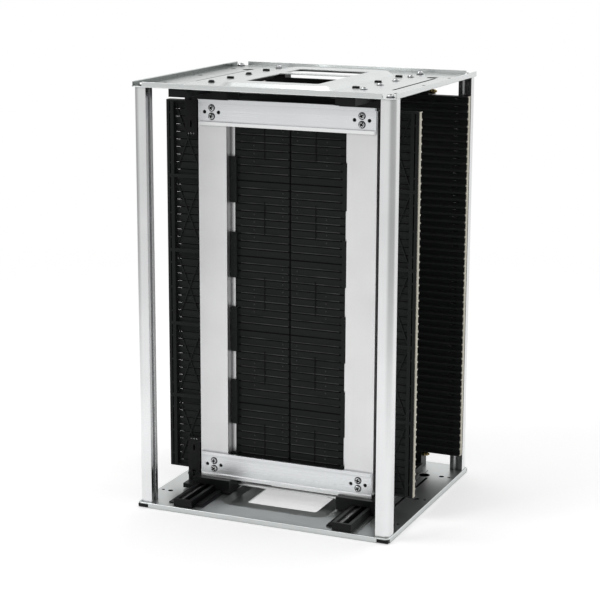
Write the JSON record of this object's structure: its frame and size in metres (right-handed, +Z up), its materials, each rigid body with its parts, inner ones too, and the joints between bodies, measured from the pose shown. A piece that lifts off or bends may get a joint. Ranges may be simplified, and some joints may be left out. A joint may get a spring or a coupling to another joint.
{
  "type": "pcb magazine rack",
  "caption": "Upright rack for circuit boards: slotted walls between pressed plates on corner posts, one wall sliding on geared tracks to suit the board width.",
  "frame": {"origin": "middle of the footprint, on the floor under the base plate", "axes": "+X along the board slots, +Y from the movable wall to the fixed wall, +Z up"},
  "size_m": [0.355, 0.32, 0.563],
  "materials": {
    "plate_metal": "satin pressed sheet",
    "post_aluminium": "satin anodised extrusion",
    "frame_aluminium": "satin anodised extrusion",
    "panel_plastic": "black moulded, low sheen",
    "black_plastic": "black moulded, low sheen",
    "ivory_plastic": "ivory, matt",
    "zinc_screws": "bright zinc",
    "bright_steel": "bright drawn steel"
  },
  "bodies": {
    "frame": {"base_plate": "plate_metal", "fixed_edge_strips": "ivory_plastic", "fixed_feet_bottom": "black_plastic", "fixed_feet_top": "black_plastic", "fixed_frame_screws": "zinc_screws", "fixed_panel_1_left": "panel_plastic", "fixed_panel_1_right": "panel_plastic", "fixed_panel_2_left": "panel_plastic", "fixed_panel_2_right": "panel_plastic", "fixed_panel_3_left": "panel_plastic", "fixed_panel_3_right": "panel_plastic", "fixed_panel_4_left": "panel_plastic", "fixed_panel_4_right": "panel_plastic", "fixed_panel_5_left": "panel_plastic", "fixed_panel_5_right": "panel_plastic", "fixed_rail_bottom": "frame_aluminium", "fixed_rail_top": "frame_aluminium", "fixed_stile_left": "frame_aluminium", "fixed_stile_right": "frame_aluminium", "plate_screws": "zinc_screws", "post_front_left": "post_aluminium", "post_front_right": "post_aluminium", "post_rear_left": "post_aluminium", "post_rear_right": "post_aluminium", "post_screws": "zinc_screws", "top_plate": "plate_metal", "track_bottom_left": "black_plastic", "track_bottom_right": "black_plastic", "track_top_left": "black_plastic", "track_top_right": "black_plastic", "wear_strips": "bright_steel"},
    "movable_wall": {"carriage_bottom_left": "black_plastic", "carriage_bottom_right": "black_plastic", "carriage_top_left": "black_plastic", "carriage_top_right": "black_plastic", "movable_edge_strips": "ivory_plastic", "movable_frame_screws": "zinc_screws", "movable_panel_1_left": "panel_plastic", "movable_panel_1_right": "panel_plastic", "movable_panel_2_left": "panel_plastic", "movable_panel_2_right": "panel_plastic", "movable_panel_3_left": "panel_plastic", "movable_panel_3_right": "panel_plastic", "movable_panel_4_left": "panel_plastic", "movable_panel_4_right": "panel_plastic", "movable_panel_5_left": "panel_plastic", "movable_panel_5_right": "panel_plastic", "movable_rail_bottom": "frame_aluminium", "movable_rail_top": "frame_aluminium", "movable_stile_left": "frame_aluminium", "movable_stile_right": "frame_aluminium"},
    "bottom_shaft": {"pinion_bottom_left": "black_plastic", "pinion_bottom_right": "black_plastic", "shaft_bottom": "bright_steel", "shaft_rings_bottom": "zinc_screws"},
    "top_shaft": {"pinion_top_left": "black_plastic", "pinion_top_right": "black_plastic", "shaft_rings_top": "zinc_screws", "shaft_top": "bright_steel"}
  },
  "joints": [
    {"name": "wall_slide", "type": "slide", "parent": "frame", "child": "movable_wall", "axis": [0, 1, 0], "range_m": [-0.07, 0.13]},
    {"name": "bottom_shaft_spin", "type": "hinge", "parent": "movable_wall", "child": "bottom_shaft", "pos_m": [0, -0.0625, 0.0165], "axis": [1, 0, 0], "range_deg": [-1195, 645]},
    {"name": "top_shaft_spin", "type": "hinge", "parent": "movable_wall", "child": "top_shaft", "pos_m": [0, -0.0625, 0.5465], "axis": [1, 0, 0], "range_deg": [-645, 1195]}
  ],
  "couplings": [
    {"joint": "bottom_shaft_spin", "follows": "wall_slide", "rad_per_m": -160},
    {"joint": "top_shaft_spin", "follows": "wall_slide", "rad_per_m": 160}
  ]
}
